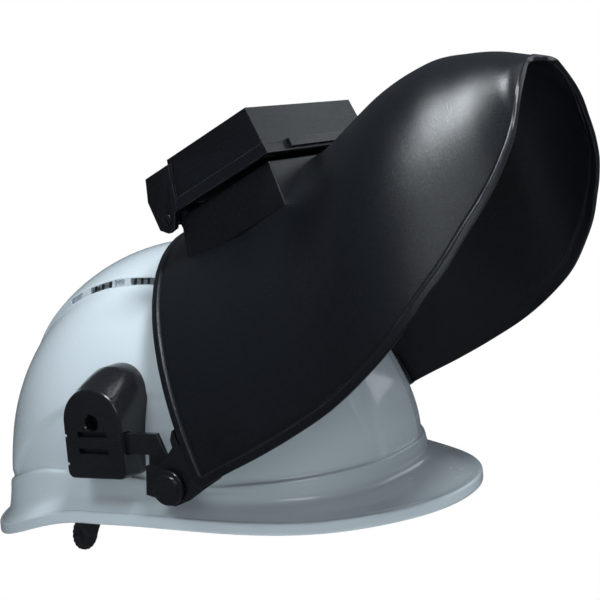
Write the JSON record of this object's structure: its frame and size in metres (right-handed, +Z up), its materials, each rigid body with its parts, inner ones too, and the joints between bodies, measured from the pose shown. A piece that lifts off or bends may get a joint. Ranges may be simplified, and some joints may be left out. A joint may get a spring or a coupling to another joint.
{
  "type": "hard-hat-mounted welding helmet",
  "caption": "Hard hat with side adapters that carry a lift-front welding shield, shown raised, with a flip-up lens lid over its window.",
  "frame": {"origin": "middle of the crown's plan at the level of the hat's rim, inside the shell where the head sits", "axes": "-Y toward the peak and the wearer's face, +X to the wearer's left, +Z up; the picture shows the -X side"},
  "size_m": [0.262, 0.3428, 0.2701],
  "materials": {
    "shell": "gloss",
    "gloss": "gloss",
    "shield": "satin",
    "harness": "satin",
    "webbing": "matte",
    "steel": "satin",
    "filter": "gloss",
    "clear": "gloss"
  },
  "bodies": {
    "hat": {"hat_shell": "shell", "headband": "harness", "nape_knob": "harness", "key_1": "harness", "key_2": "harness", "key_3": "harness", "key_4": "harness", "strap_1": "webbing", "strap_2": "webbing", "adapter_R": "gloss", "arm_R": "gloss", "pivot_bolt_R": "gloss", "adapter_L": "gloss", "arm_L": "gloss", "pivot_bolt_L": "gloss"},
    "shield": {"shield": "shield", "clear_plate": "clear", "plate_frame": "harness", "hinge_pin": "steel", "bracket_R": "gloss", "bracket_L": "gloss", "bracket_screw_R1": "gloss", "bracket_screw_R2": "gloss", "bracket_screw_L1": "gloss", "bracket_screw_L2": "gloss"},
    "lid": {"lid": "shield", "filter_plate": "filter", "filter_clip": "harness"}
  },
  "joints": [
    {"name": "shield_lift", "type": "hinge", "parent": "hat", "child": "shield", "pos_m": [0, -0.0456, 0.0315], "axis": [1, 0, 0], "range_deg": [0, 115]},
    {"name": "lid_flip", "type": "hinge", "parent": "shield", "child": "lid", "pos_m": [0, -0.02318, 0.1572], "axis": [-1, 0, 0], "range_deg": [0, 100]}
  ]
}
